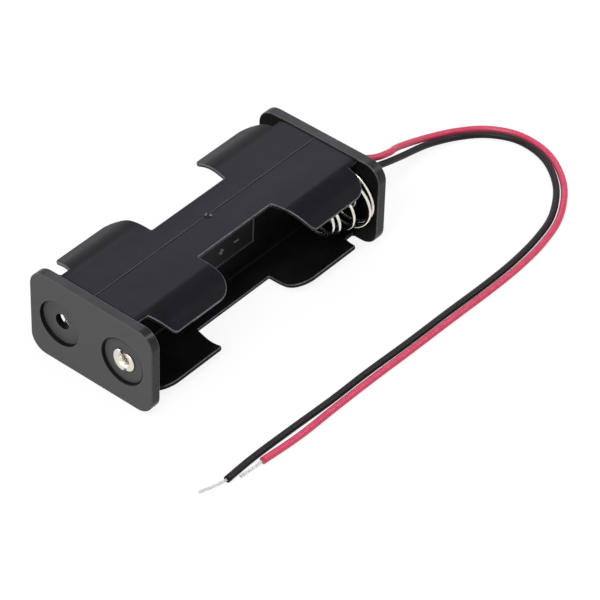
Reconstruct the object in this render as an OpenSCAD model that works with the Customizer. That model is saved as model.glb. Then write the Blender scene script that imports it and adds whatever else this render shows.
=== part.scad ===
// Open-sided holder for two AA cells lying side by side, each pushed in from its own side.
// One plastic moulding, two conical contact springs, riveted contacts and two free leads.
// Origin: middle of the underside. X runs across the two cells, Y along them towards
// the end that the leads leave, Z up.

/* [Cells] */
// Diameter of the cells
cell_d = 14.5; // [14:0.1:15]
// Length of the cells
cell_l = 50.5; // [49.5:0.1:51.5]
// Room across each bay beyond the cell's diameter
cell_slack = 1.5; // [1.1:0.1:1.9]
// Room along each bay for the spring and the fixed contact
contact_room = 7.7; // [7:0.1:9]

/* [Moulding] */
// Width of the end plates
body_w = 27.8; // [27.4:0.1:30]
// Thickness of the end plates
plate_t = 2.1; // [1.9:0.1:2.6]
// Corner radius of the end plates
plate_r = 3.4; // [2.4:0.1:4.4]
// Thickness of the top and bottom flanges
flange_t = 0.7; // [0.6:0.1:1]
// How far the end plates stand proud of the flanges
flange_inset = 0.2; // [0.1:0.05:0.6]
// Thickness of the web between the two cells
web_t = 1.3; // [1:0.1:1.5]
// Length of the sunk panel on each face of the web
panel_l = 21.6; // [16:0.2:26]
// Height of the sunk panel
panel_h = 6.6; // [5:0.2:9]
// Depth of the sunk panel
panel_depth = 0.25; // [0.1:0.05:0.35]
// Radius of the gate mark on the top flange
gate_r = 0.7; // [0.4:0.1:1]
// Height of the gate mark
gate_h = 0.1; // [0.05:0.05:0.2]

/* [Wings] */
// Distance from the middle to the tips of the upper wings
upper_reach = 14.1; // [13.8:0.1:14.4]
// Distance from the middle to the tips of the lower wings
lower_reach = 13; // [12.6:0.1:13.4]
// Distance from the middle to the start of the bend
wing_bend_x = 7; // [6.8:0.1:7.4]
// Outer radius of the bend
wing_bend_r = 10.4; // [9:0.1:11]
// Angle that each wing turns towards the cell through
wing_angle = 28; // [24:1:30]
// Gap between a wing and the end plate beside it
wing_gap = 2.4; // [1.8:0.1:3]
// Width of the flange where it joins the end plates
root_w = 18; // [16.8:0.2:18.4]
// Width of the flange at the finger openings
waist_w = 10.8; // [9.6:0.2:12.6]
// Length of the finger openings between the wings
finger_l = 19.2; // [16:0.2:23]
// How far the sharp side of a wing slants back
wing_slant = 1.8; // [1:0.1:2.6]
// Radius of each wing's round corner
wing_round = 3.8; // [2.8:0.1:4.6]
// Radius of each wing's sharp corner
wing_corner = 1.1; // [0.6:0.1:1.6]

/* [Recesses] */
// Distance from the middle to the contacts and their recesses
contact_x = 7.3; // [7.2:0.05:7.4]
// Radius of the recesses in the end plates
recess_r = 4.55; // [4.2:0.05:4.8]
// Depth of the recess round the front rivet
rivet_recess = 0.6; // [0.5:0.05:0.8]
// Depth of the empty front recess
open_recess = 1; // [0.8:0.05:1.2]
// Depth of the two back recesses
tag_recess = 1.2; // [1.15:0.05:1.3]
// Radius of the sight hole in the empty front recess
sight_r = 1.5; // [1.2:0.1:1.8]

/* [Rivets and tags] */
// Outer radius of the rivet shanks
rivet_r = 1.4; // [1.3:0.05:1.5]
// Bore radius of the rivets
rivet_bore = 0.9; // [0.7:0.05:1]
// Radius of the rivet heads and of their spread ends
head_r = 2.4; // [2.3:0.05:2.5]
// Thickness of the rivet heads and of their spread ends
head_t = 0.35; // [0.3:0.05:0.4]
// Width of the splits in the spread ends
split_w = 0.6; // [0.4:0.05:0.8]
// Clearance between a rivet shank and what it passes through
rivet_clear = 0.05; // [0.03:0.01:0.08]
// Thickness of the solder tags
tag_t = 0.3; // [0.25:0.05:0.35]
// Width of the solder tags' tabs
tag_w = 2.4; // [2:0.1:2.8]
// Margin of each tag round the rivet's spread end
tag_margin = 0.3; // [0.2:0.05:0.5]
// Gap between the corners of a tab and the wall of its recess
tag_gap = 0.05; // [0.03:0.01:0.1]

/* [Springs] */
// Wire diameter of the springs
spring_wire = 0.65; // [0.55:0.05:0.7]
// Coil radius at the end plate, to the middle of the wire
spring_base_r = 6.05; // [5.8:0.05:6.15]
// Coil radius at the free end, to the middle of the wire
spring_tip_r = 3.6; // [3.2:0.05:4]
// Free length of the springs
spring_l = 9; // [8.4:0.1:9.6]
// Number of coils, with the closed one at each end
spring_turns = 4.1; // [3.9:0.1:4.4]
// Gap between the closed coils at each end
coil_gap = 0.15; // [0.05:0.05:0.2]
// Power of the taper, below 1 for coils that narrow early
spring_taper = 0.65; // [0.5:0.05:1]
// Radius of the bend that leads the linking wire into the front spring
link_bend_r = 3; // [2.7:0.1:3.2]
// Straight run of the linking wire on each side of the web's middle
link_run = 1.8; // [1.2:0.1:2.4]
// Room round the linking wire in its slot through the web
slot_clear = 0.25; // [0.15:0.05:0.4]

/* [Leads] */
// Outer diameter of the leads
lead_d = 1.3; // [1.1:0.05:1.4]
// Diameter of the bare tinned strands
core_d = 0.5; // [0.4:0.05:0.7]
// Length of bare strands from each tag to the insulation
root_l = 2.6; // [2.4:0.1:3]
// Height of the solder on each tag
solder_h = 0.8; // [0.6:0.05:0.85]
// Gap between the solder and the rivet's spread end
solder_gap = 0.07; // [0.03:0.01:0.15]

/* [Hidden] */

// The cuts run past the faces that they open by this much
past = 1;
bay_h = cell_d + cell_slack;
body_h = bay_h + 2 * flange_t + 2 * flange_inset;
bay_l = cell_l + contact_room;
body_l = bay_l + 2 * plate_t;
mid_z = body_h / 2;
face_y = body_l / 2;
wall_y = bay_l / 2;
flange_z = body_h - flange_inset;
wing_y = wall_y - wing_gap;
finger_y = finger_l / 2;
flap_l = (upper_reach + past - wing_bend_x - wing_bend_r * sin(wing_angle)) / cos(wing_angle);
loop_r = rivet_r + rivet_clear + spring_wire / 2;
slot_h = spring_wire + 2 * slot_clear;
slot_depth = spring_wire + slot_clear;
// A tab ends with its corners beside the recess wall, and its solder sits between them and the rivet
tag_l = sqrt(pow(recess_r - tag_gap, 2) - pow(tag_w / 2, 2));
solder_r = (tag_l - head_r) / 2 - solder_gap;
tag_reach = (tag_l + head_r) / 2;
tag_face = face_y - tag_recess + tag_t;

// Rounded rectangle lying in X and Z, standing on z = 0
module plate_outline(w, h, r) {
    translate([0, h / 2]) square([w, h - 2 * r], center = true);
    translate([0, h / 2]) square([w - 2 * r, h], center = true);
    for (sx = [-1, 1], z = [r, h - r]) translate([sx * (w / 2 - r), z]) circle(r = r, $fn = 48);
}

// Slab from y0 to y1 with an outline drawn in X and Z
module slab(y0, y1) {
    translate([0, y1, 0]) rotate([90, 0, 0]) linear_extrude(height = y1 - y0) children();
}

// Round bar along +Y from y0 to y1
module bar(x, y0, y1, r) {
    translate([x, y1, mid_z]) rotate([90, 0, 0]) cylinder(r = r, h = y1 - y0, $fn = 64);
}

// Half of a flange's section: flat, then bent round the cell, then straight to beyond the tip
module wing_section() {
    translate([0, flange_z - flange_t]) square([wing_bend_x + 0.01, flange_t]);
    translate([wing_bend_x, flange_z - wing_bend_r]) {
        intersection() {
            difference() {
                circle(r = wing_bend_r, $fn = 96);
                circle(r = wing_bend_r - flange_t, $fn = 96);
            }
            polygon([
                [0, 0],
                [0, 2 * wing_bend_r],
                [2 * wing_bend_r * sin(wing_angle), 2 * wing_bend_r * cos(wing_angle)]
            ]);
        }
        rotate(-wing_angle) translate([-0.01, wing_bend_r - flange_t]) square([flap_l + 0.01, flange_t]);
    }
}

// Points of a round corner
function corner(x, y, r, from, to, steps) = [for (i = [0 : steps])
    let (a = from + (to - from) * i / steps) [x + r * cos(a), y + r * sin(a)]];

// Plan of one wing from its sharp side at y0 to its round side at y1, slanting from x0 to the tip
module wing_plan(x0, y0, y1, reach) {
    slant = atan(wing_slant / (reach - x0));
    tip_x = reach - wing_corner;
    tip_y = y0 + (tip_x - x0) * tan(slant) + wing_corner / cos(slant);
    polygon(concat(
        [[0, y0], [x0, y0]],
        corner(tip_x, tip_y, wing_corner, slant - 90, 0, 6),
        corner(reach - wing_round, y1 - wing_round, wing_round, 0, 90, 12),
        [[0, y1]]
    ));
}

// Plan of the right half of a flange
module flange_plan(reach) {
    translate([0, -wall_y]) square([waist_w / 2, 2 * wall_y]);
    for (s = [-1, 1]) translate([0, s > 0 ? wing_y - past : -wall_y]) square([root_w / 2, wing_gap + past]);
    wing_plan(root_w / 2, -wing_y, -finger_y, reach);
    wing_plan(waist_w / 2, finger_y, wing_y, reach);
}

module half_flange(reach) {
    intersection() {
        slab(-wall_y, wall_y) wing_section();
        linear_extrude(height = body_h) flange_plan(reach);
    }
}

// Flange at the top, with its wings turned down
module flange(reach) {
    half_flange(reach);
    mirror([1, 0, 0]) half_flange(reach);
}

module web() {
    translate([-web_t / 2, -wall_y, flange_inset]) cube([web_t, bay_l, body_h - 2 * flange_inset]);
}

module body() {
    color([0.13, 0.13, 0.14]) difference() {
        union() {
            slab(-face_y, -wall_y) plate_outline(body_w, body_h, plate_r);
            slab(wall_y, face_y) plate_outline(body_w, body_h, plate_r);
            web();
            flange(upper_reach);
            translate([0, 0, body_h]) rotate([180, 0, 0]) flange(lower_reach);
            translate([-web_t / 2, 0, flange_z - gate_h]) cylinder(r = gate_r, h = 2 * gate_h, $fn = 32);
        }
        // sunk panels on the web
        for (s = [-1, 1]) translate([s * (web_t / 2 + past - panel_depth), 0, mid_z])
            cube([2 * past, panel_l, panel_h], center = true);
        // slot for the linking wire
        translate([-web_t, -wall_y, mid_z - loop_r - slot_h / 2]) cube([2 * web_t, slot_depth, slot_h]);
        // front recesses and holes
        bar(contact_x, -face_y - past, -face_y + rivet_recess, recess_r);
        bar(-contact_x, -face_y - past, -face_y + open_recess, recess_r);
        bar(contact_x, -face_y - past, -wall_y + past, rivet_r + rivet_clear);
        bar(-contact_x, -face_y - past, -wall_y + past, sight_r);
        // back recesses and holes
        for (s = [-1, 1]) {
            bar(s * contact_x, face_y - tag_recess, face_y + past, recess_r);
            bar(s * contact_x, wall_y - past, face_y + past, rivet_r + rivet_clear);
        }
    }
}

// Tubular rivet along Y: a head on the contact at y = 0, a shank, and a spread end split in two
module rivet(grip) {
    difference() {
        union() {
            rotate([-90, 0, 0]) cylinder(r = head_r, h = head_t, $fn = 48);
            translate([0, -grip - head_t, 0]) rotate([-90, 0, 0]) {
                cylinder(r = rivet_r, h = grip + head_t, $fn = 48);
                cylinder(r = head_r, h = head_t, $fn = 48);
            }
        }
        translate([0, -grip - head_t - past, 0]) rotate([-90, 0, 0])
            cylinder(r = rivet_bore, h = grip + 2 * head_t + 2 * past, $fn = 48);
        for (z = [rivet_bore, -head_r - past]) translate([-split_w / 2, -grip - head_t - past, z])
            cube([split_w, head_t + past, head_r + past - rivet_bore]);
    }
}

module front_rivet() {
    color([0.86, 0.84, 0.78]) translate([contact_x, -wall_y + spring_wire, mid_z])
        rivet(spring_wire + plate_t - rivet_recess);
}

module back_plus_rivet() {
    color([0.86, 0.84, 0.78]) translate([-contact_x, wall_y, mid_z]) rotate([0, 0, 180])
        rivet(plate_t - tag_recess + tag_t);
}

module back_minus_rivet() {
    color([0.86, 0.84, 0.78]) translate([contact_x, wall_y - spring_wire, mid_z]) rotate([0, 0, 180])
        rivet(spring_wire + plate_t - tag_recess + tag_t);
}

function unit(v) = v / norm(v);

// Round wire or tube along a line of points, with flat ends square to the line
module tube(line, r, first_dir, side_of) {
    sides = 8;
    n = len(line);
    dirs = [for (i = [0 : n - 1])
        i == 0 && norm(first_dir) > 0
            ? unit(first_dir)
            : unit(line[min(i + 1, n - 1)] - line[max(i - 1, 0)])];
    pts = [for (i = [0 : n - 1], j = [0 : sides - 1])
        let (u = unit(cross(dirs[i], side_of)), v = cross(u, dirs[i]), a = 360 * j / sides)
        line[i] + r * (cos(a) * u + sin(a) * v)];
    skin = [for (i = [0 : n - 2], j = [0 : sides - 1])
        [i * sides + j, (i + 1) * sides + j, (i + 1) * sides + (j + 1) % sides, i * sides + (j + 1) % sides]];
    head = [for (j = [0 : sides - 1]) j];
    tail = [for (j = [sides - 1 : -1 : 0]) (n - 1) * sides + j];
    polyhedron(points = pts, faces = concat([head], skin, [tail]), convexity = 10);
}

// Height of a coil above its wall and its radius, n turns from the start
coil_steps = 26;
closed_pitch = spring_wire + coil_gap;
open_rise = spring_l - spring_wire - 2 * closed_pitch;
function coil_y(n) = spring_wire / 2 + closed_pitch * min(n, 1)
    + open_rise * min(max(n - 1, 0) / (spring_turns - 2), 1)
    + closed_pitch * max(n - spring_turns + 1, 0);
function coil_r(n) = spring_base_r
    + (spring_tip_r - spring_base_r) * pow(max(n - 1, 0) / (spring_turns - 1), spring_taper);
function coil(n, a) = [coil_r(n) * cos(a), coil_y(n), coil_r(n) * sin(a)];
function arc(x, z, r, from, to, steps) = [for (i = [0 : steps])
    let (a = from + (to - from) * i / steps) [x + r * cos(a), spring_wire / 2, z + r * sin(a)]];

// Front wire: an eye under the rivet, the link across to the other bay, then the coils
front_wire = concat(
    arc(2 * contact_x, 0, loop_r, 590, 270, 20),
    [for (s = [1, -1]) [contact_x + s * link_run, spring_wire / 2, -loop_r]],
    arc(0, spring_base_r - link_bend_r, link_bend_r, 252, 100, 10),
    [for (i = [0 : round(spring_turns * coil_steps)]) coil(i / coil_steps, 90 - 360 * i / coil_steps)]
);

// Back wire: an eye under the rivet, a flat spiral out to the base, then the coils
spiral_turns = 0.85;
eye_turns = 0.9;
function spiral_r(n) = loop_r + (spring_base_r - loop_r) * (1 + n / spiral_turns);
back_wire = concat(
    arc(0, 0, loop_r, -360 * (spiral_turns + eye_turns), -360 * spiral_turns - 20, 18),
    [for (i = [0 : 19])
        let (n = spiral_turns * (i / 20 - 1), a = 360 * n)
        [spiral_r(n) * cos(a), spring_wire / 2, spiral_r(n) * sin(a)]],
    [for (i = [0 : round(spring_turns * coil_steps)]) coil(i / coil_steps, 360 * i / coil_steps)]
);

module front_spring() {
    color([0.86, 0.84, 0.78]) translate([-contact_x, -wall_y, mid_z])
        tube(front_wire, spring_wire / 2, [0, 0, 0], [0, 1, 0]);
}

module back_spring() {
    color([0.86, 0.84, 0.78]) translate([contact_x, wall_y, mid_z]) mirror([0, 1, 0])
        tube(back_wire, spring_wire / 2, [0, 0, 0], [0, 1, 0]);
}

// Solder tag: a ring under the rivet's spread end and a tab that stays inside the recess
module tag() {
    rotate([-90, 0, 0]) difference() {
        union() {
            cylinder(r = head_r + tag_margin, h = tag_t, $fn = 48);
            translate([0, -tag_w / 2, 0]) cube([tag_l, tag_w, tag_t]);
        }
        translate([0, 0, -past]) cylinder(r = rivet_r + rivet_clear, h = 3 * past, $fn = 48);
    }
}

module plus_tag() {
    color([0.78, 0.77, 0.72]) translate([-contact_x, face_y - tag_recess, mid_z]) tag();
}

module minus_tag() {
    color([0.78, 0.77, 0.72]) translate([contact_x, face_y - tag_recess, mid_z]) mirror([1, 0, 0]) tag();
}

// Dome of solder on a tag's tab, round the bare strands of a lead
module solder(side) {
    cap_r = (solder_r * solder_r + solder_h * solder_h) / (2 * solder_h);
    translate([side * (contact_x - tag_reach), tag_face, mid_z]) difference() {
        intersection() {
            translate([0, solder_h - cap_r, 0]) sphere(r = cap_r, $fn = 48);
            translate([-solder_r - past, 0, -solder_r - past])
                cube([2 * (solder_r + past), solder_h + past, 2 * (solder_r + past)]);
        }
        translate([0, -past, 0]) rotate([-90, 0, 0])
            cylinder(r = core_d / 2, h = solder_h + 2 * past, $fn = 32);
    }
}

module plus_solder() {
    color([0.72, 0.72, 0.7]) solder(-1);
}

module minus_solder() {
    color([0.72, 0.72, 0.7]) solder(1);
}

// Bare strands between the tag and the insulation
module root(side) {
    translate([side * (contact_x - tag_reach), tag_face, mid_z]) rotate([-90, 0, 0])
        cylinder(r = core_d / 2, h = root_l, $fn = 32);
}

// Smooth line through route points, two steps to each stretch
function between(p, i, t) =
    let (
        n = len(p) - 1,
        a = p[max(i - 1, 0)],
        b = p[i],
        c = p[min(i + 1, n)],
        d = p[min(i + 2, n)]
    )
    0.5 * (2 * b + (c - a) * t + (2 * a - 5 * b + 4 * c - d) * t * t + (3 * b - a - 3 * c + d) * t * t * t);
function smooth(p) = concat([for (i = [0 : len(p) - 2], t = [0, 0.5]) between(p, i, t)], [p[len(p) - 1]]);

start_y = tag_face + root_l;
start_x = contact_x - tag_reach;
// Centre line of the red lead from the plus tag to the end of its insulation
red_route = [
    [-start_x, start_y, mid_z],
    [-2.2, 36, 8.4],
    [0.6, 39.2, 7.6],
    [3, 41.8, 7.5],
    [4.3, 44.5, 7.8],
    [3.2, 48.6, 6.1],
    [2.8, 57.6, 2.7],
    [4.7, 65, 1],
    [8.6, 69.7, 0.7],
    [14.4, 72, 0.7],
    [21.7, 70.9, 0.7],
    [28.9, 65.7, 0.7],
    [33.9, 58, 0.7],
    [36.1, 50.3, 0.7],
    [37, 42, 0.7],
    [37.1, 33, 0.7],
    [36.8, 22.2, 0.7],
    [36.6, 11.5, 0.7],
    [36.3, 1.3, 0.7],
    [36.2, -8.8, 0.7],
    [36.2, -18.4, 0.7],
    [35.5, -27.2, 0.7]
];
// Centre line of the black lead from the minus tag to the end of its insulation
black_route = [
    [start_x, start_y, mid_z],
    [4.5, 37.4, 8],
    [4.7, 43.2, 6.4],
    [4.3, 48.2, 4.7],
    [3.9, 56.8, 2.2],
    [5.7, 63.8, 0.8],
    [9.5, 68.2, 0.7],
    [15, 70.5, 0.7],
    [21.7, 69.3, 0.7],
    [28.1, 64.4, 0.7],
    [32.6, 57.3, 0.7],
    [34.5, 50.3, 0.7],
    [35.4, 42, 0.7],
    [35.5, 33.3, 0.7],
    [35.2, 22.9, 0.7],
    [35, 12.3, 0.7],
    [34.6, 1.5, 0.7],
    [34.5, -8, 0.7],
    [34.1, -17.5, 0.7],
    [33.8, -27.6, 0.7],
    [34, -34.6, 0.7]
];
// Bare ends beyond the insulation
red_tail = [
    [35.5, -27.2, 0.7],
    [35.3, -29.7, 0.5],
    [35, -32.3, 0.4]
];
black_tail = [
    [34, -34.6, 0.7],
    [33.3, -37, 0.5],
    [32.3, -39.7, 0.4]
];

module red_root() {
    color([0.72, 0.72, 0.7]) root(-1);
}

module red_lead() {
    color([0.82, 0.25, 0.38]) tube(smooth(red_route), lead_d / 2, [0, 1, 0], [0, 0, 1]);
}

module red_end() {
    color([0.72, 0.72, 0.7]) tube(smooth(red_tail), core_d / 2, [0, 0, 0], [0, 0, 1]);
}

module black_root() {
    color([0.72, 0.72, 0.7]) root(1);
}

module black_lead() {
    color([0.1, 0.1, 0.1]) tube(smooth(black_route), lead_d / 2, [0, 1, 0], [0, 0, 1]);
}

module black_end() {
    color([0.72, 0.72, 0.7]) tube(smooth(black_tail), core_d / 2, [0, 0, 0], [0, 0, 1]);
}

body();
front_rivet();
front_spring();
back_plus_rivet();
back_minus_rivet();
back_spring();
plus_tag();
minus_tag();
plus_solder();
minus_solder();
red_root();
red_lead();
red_end();
black_root();
black_lead();
black_end();
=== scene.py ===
import math

import bmesh
import bpy
from mathutils import Matrix, Vector


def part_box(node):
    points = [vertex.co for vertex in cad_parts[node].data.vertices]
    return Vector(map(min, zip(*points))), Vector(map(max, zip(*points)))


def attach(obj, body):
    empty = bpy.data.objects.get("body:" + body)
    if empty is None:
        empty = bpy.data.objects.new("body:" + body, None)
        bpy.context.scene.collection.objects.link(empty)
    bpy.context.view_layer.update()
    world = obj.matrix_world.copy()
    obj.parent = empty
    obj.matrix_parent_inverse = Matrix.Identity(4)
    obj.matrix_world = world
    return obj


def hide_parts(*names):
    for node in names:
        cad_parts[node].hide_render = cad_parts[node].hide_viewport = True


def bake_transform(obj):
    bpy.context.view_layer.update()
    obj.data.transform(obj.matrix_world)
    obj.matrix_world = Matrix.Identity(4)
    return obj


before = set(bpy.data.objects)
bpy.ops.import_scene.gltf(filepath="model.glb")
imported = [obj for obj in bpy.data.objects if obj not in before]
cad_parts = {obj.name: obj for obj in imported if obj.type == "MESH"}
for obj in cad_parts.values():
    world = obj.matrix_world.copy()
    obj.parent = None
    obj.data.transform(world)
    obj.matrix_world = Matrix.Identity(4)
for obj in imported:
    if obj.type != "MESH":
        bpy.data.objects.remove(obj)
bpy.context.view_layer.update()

# Lengths below are in millimetres, in the frame of the CAD model; MM turns them into metres.
MM = 0.001
HOLDER = "holder"


def in_mm(node):
    low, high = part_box(node)
    return Vector(low) / MM, Vector(high) / MM


BODY_LOW, BODY_HIGH = in_mm("body")
BODY_W = BODY_HIGH.x - BODY_LOW.x
BODY_H = BODY_HIGH.z
FACE_Y = BODY_HIGH.y
MID_Z = BODY_H / 2

# Moulding
PLATE_T = 2.1
WALL_Y = FACE_Y - PLATE_T
PLATE_R = 3.4
RIM_R = 0.2
FLANGE_T = 0.7
FLANGE_INSET = 0.2
FLANGE_Z = BODY_H - FLANGE_INSET
EDGE_R = 0.19
WEB_T = 1.3
PANEL_L = 21.6
PANEL_H = 6.6
PANEL_DEPTH = 0.25

# Wings
UPPER_REACH = 14.1
LOWER_REACH = 13.0
BEND_X = 7.0
BEND_R = 10.4
BEND_ANGLE = math.radians(28)
ROOT_X = 9.0
WAIST_X = 5.4
WING_GAP = 2.4
WING_Y = WALL_Y - WING_GAP
FINGER_Y = 9.6
WING_SLANT = 1.8
WING_ROUND = 3.8
WING_CORNER = 1.1

# Contacts
CONTACT_X = 7.3
RECESS_R = 4.55
OPEN_RECESS = 0.85
RIVET_RECESS = 0.6
RIVET_LIP = 0.15
TAG_RECESS = 1.2
SIGHT_R = 1.5
RIVET_R = 1.4
RIVET_CLEAR = 0.05
RIVET_BORE = 0.9
HEAD_R = 2.4
HEAD_T = 0.35
TAG_T = 0.3
TAG_W = 2.4
TAG_MARGIN = 0.3
TAG_GAP = 0.05
WIRE = 0.65
SPRING_BASE_R = 6.05
SPRING_TIP_R = 3.6
SPRING_L = 9.0
SPRING_TURNS = 4.1
SPRING_TAPER = 0.65
COIL_GAP = 0.15
LOOP_R = RIVET_R + RIVET_CLEAR + WIRE / 2
LINK_BEND_R = 3.0
LINK_RUN = 1.8
SPIRAL_TURNS = 0.85
EYE_TURNS = 0.9

# Leads
LEAD_D = 1.3
CORE_D = 0.5


# ---------------------------------------------------------------- camera, floor and light

def make_camera():
    azimuth, elevation, roll = (math.radians(a) for a in (39.1, 40.94, 1.75))
    target = Vector((13.77, 8.23, 1)) * MM
    back = Vector((
        math.sin(azimuth) * math.cos(elevation),
        -math.cos(azimuth) * math.cos(elevation),
        math.sin(elevation),
    ))
    level = Vector((math.cos(azimuth), math.sin(azimuth), 0))
    up = back.cross(level)
    right = level * math.cos(roll) + up * math.sin(roll)
    top = up * math.cos(roll) - level * math.sin(roll)
    camera = bpy.data.objects.new("camera", bpy.data.cameras.new("camera"))
    camera.data.sensor_width = 36
    camera.data.lens = 210.9
    camera.data.clip_end = 20
    place = target + back * 0.6219
    camera.matrix_world = Matrix((
        (right.x, top.x, back.x, place.x),
        (right.y, top.y, back.y, place.y),
        (right.z, top.z, back.z, place.z),
        (0, 0, 0, 1),
    ))
    bpy.context.scene.collection.objects.link(camera)
    bpy.context.scene.camera = camera


def area_light(name, place, target, size, watts, colour=(1, 1, 1)):
    light = bpy.data.lights.new(name, "AREA")
    light.shape = "RECTANGLE"
    light.size, light.size_y = size
    light.energy = watts
    light.color = colour
    lamp = bpy.data.objects.new(name, light)
    lamp.location = place
    lamp.rotation_euler = (Vector(target) - Vector(place)).to_track_quat("-Z", "Y").to_euler()
    bpy.context.scene.collection.objects.link(lamp)


def make_lights():
    area_light("key", (0.25, -0.75, 0.75), (0, 0, 0), (0.5, 0.5), 7)
    area_light("top", (0.1, -0.1, 1.1), (0, 0, 0), (0.6, 0.6), 5)
    area_light("side", (-0.9, -0.35, 0.45), (0, 0, 0), (0.6, 0.5), 3)
    area_light("sheen", (-0.65, 0.7, 0.78), (0, 0, 0), (0.4, 0.4), 1.7, (0.88, 0.82, 1))
    area_light("edge", (0.5, 0.62, 0.72), (0, 0, 0), (0.2, 0.3), 2.6, (0.92, 0.88, 1))


def seen_rays(tree, share):
    """The share of the plain white that camera, glossy and transmission rays get."""
    rays = tree.nodes.new("ShaderNodeLightPath")
    total = rays.outputs["Is Camera Ray"]
    for name in ("Is Glossy Ray", "Is Transmission Ray"):
        add = tree.nodes.new("ShaderNodeMath")
        add.operation = "ADD"
        add.use_clamp = True
        tree.links.new(total, add.inputs[0])
        tree.links.new(rays.outputs[name], add.inputs[1])
        total = add.outputs[0]
    part = tree.nodes.new("ShaderNodeMath")
    part.operation = "MULTIPLY"
    part.inputs[1].default_value = share
    tree.links.new(total, part.inputs[0])
    return part.outputs[0]


def make_world():
    world = bpy.data.worlds.new("studio")
    world.use_nodes = True
    nodes, links = world.node_tree.nodes, world.node_tree.links
    nodes.clear()
    out = nodes.new("ShaderNodeOutputWorld")
    soft = nodes.new("ShaderNodeBackground")
    soft.inputs["Color"].default_value = (0.93, 0.96, 1, 1)
    soft.inputs["Strength"].default_value = 0.35
    white = nodes.new("ShaderNodeBackground")
    white.inputs["Color"].default_value = (1, 1, 1, 1)
    white.inputs["Strength"].default_value = 1
    mix = nodes.new("ShaderNodeMixShader")
    links.new(seen_rays(world.node_tree, 1), mix.inputs[0])
    links.new(soft.outputs[0], mix.inputs[1])
    links.new(white.outputs[0], mix.inputs[2])
    links.new(mix.outputs[0], out.inputs["Surface"])
    bpy.context.scene.world = world


def make_floor():
    """A white floor that still takes a soft part of the object's shadow."""
    material = bpy.data.materials.new("floor")
    material.use_nodes = True
    nodes, links = material.node_tree.nodes, material.node_tree.links
    nodes.clear()
    out = nodes.new("ShaderNodeOutputMaterial")
    paper = nodes.new("ShaderNodeBsdfDiffuse")
    paper.inputs["Color"].default_value = (0.86, 0.86, 0.86, 1)
    glow = nodes.new("ShaderNodeEmission")
    glow.inputs["Strength"].default_value = 1
    mix = nodes.new("ShaderNodeMixShader")
    links.new(seen_rays(material.node_tree, 0.86), mix.inputs[0])
    links.new(paper.outputs[0], mix.inputs[1])
    links.new(glow.outputs[0], mix.inputs[2])
    links.new(mix.outputs[0], out.inputs["Surface"])
    size = 3
    mesh = bpy.data.meshes.new("floor")
    corners = [(-size, -size, 0), (size, -size, 0), (size, size, 0), (-size, size, 0)]
    mesh.from_pydata(corners, [], [(0, 1, 2, 3)])
    mesh.materials.append(material)
    floor = bpy.data.objects.new("floor", mesh)
    floor.location.z = -0.00005
    bpy.context.scene.collection.objects.link(floor)


# ---------------------------------------------------------------- materials

def principled(name, colour, roughness, metallic=0.0, **extra):
    material = bpy.data.materials.new(name)
    material.use_nodes = True
    shader = material.node_tree.nodes["Principled BSDF"]
    shader.inputs["Base Color"].default_value = (*colour, 1)
    shader.inputs["Roughness"].default_value = roughness
    shader.inputs["Metallic"].default_value = metallic
    for socket, value in extra.items():
        shader.inputs[socket.replace("_", " ")].default_value = value
    return material, shader


def noise(tree, scale, detail=3.0, roughness=0.5, stretch=(1, 1, 1)):
    """Noise that is fixed to the part; scale counts its features in a metre."""
    place = tree.nodes.new("ShaderNodeTexCoord")
    mapping = tree.nodes.new("ShaderNodeMapping")
    mapping.inputs["Scale"].default_value = stretch
    texture = tree.nodes.new("ShaderNodeTexNoise")
    texture.inputs["Scale"].default_value = scale
    texture.inputs["Detail"].default_value = detail
    texture.inputs["Roughness"].default_value = roughness
    tree.links.new(place.outputs["Object"], mapping.inputs["Vector"])
    tree.links.new(mapping.outputs["Vector"], texture.inputs["Vector"])
    return texture.outputs["Fac"]


def spread(tree, factor, low, high):
    """Maps a noise factor, which keeps near its middle, to the range low to high."""
    node = tree.nodes.new("ShaderNodeMapRange")
    node.inputs["From Min"].default_value = 0.3
    node.inputs["From Max"].default_value = 0.7
    node.inputs["To Min"].default_value = low
    node.inputs["To Max"].default_value = high
    tree.links.new(factor, node.inputs["Value"])
    return node.outputs["Result"]


def two_colours(tree, factor, first, second):
    node = tree.nodes.new("ShaderNodeMix")
    node.data_type = "RGBA"
    node.inputs[6].default_value = (*first, 1)
    node.inputs[7].default_value = (*second, 1)
    tree.links.new(factor, node.inputs[0])
    return node.outputs[2]


def bumped(tree, shader, heights):
    """Adds bumps in a row; heights holds pairs of a factor and its depth in metres."""
    normal = None
    for factor, depth in heights:
        bump = tree.nodes.new("ShaderNodeBump")
        bump.inputs["Distance"].default_value = depth
        bump.inputs["Strength"].default_value = 1
        tree.links.new(factor, bump.inputs["Height"])
        if normal is not None:
            tree.links.new(normal, bump.inputs["Normal"])
        normal = bump.outputs["Normal"]
    tree.links.new(normal, shader.inputs["Normal"])


def moulded_plastic():
    """Black polypropylene with satin flow marks, as on the flanges."""
    # Near-black colour of the plastic; its bluish tint, here and in the two colours below, is a painted reflection of
    # bluish sky light.
    material, shader = principled("black_plastic", (0.0062, 0.0056, 0.0085), 0.28, Specular_IOR_Level=0.06)
    tree = material.node_tree
    flow = noise(tree, 90, 3, 0.55, (1, 0.35, 1))
    haze = noise(tree, 420, 4, 0.6)
    grain = noise(tree, 5200, 2, 0.6)
    tree.links.new(spread(tree, flow, 0.2, 0.32), shader.inputs["Roughness"])
    tree.links.new(
        two_colours(tree, spread(tree, haze, 0, 1), (0.0052, 0.0046, 0.0072), (0.0076, 0.0069, 0.0102)),
        shader.inputs["Base Color"],
    )
    bumped(tree, shader, [(flow, 0.00012), (grain, 0.000006)])
    return material


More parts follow.
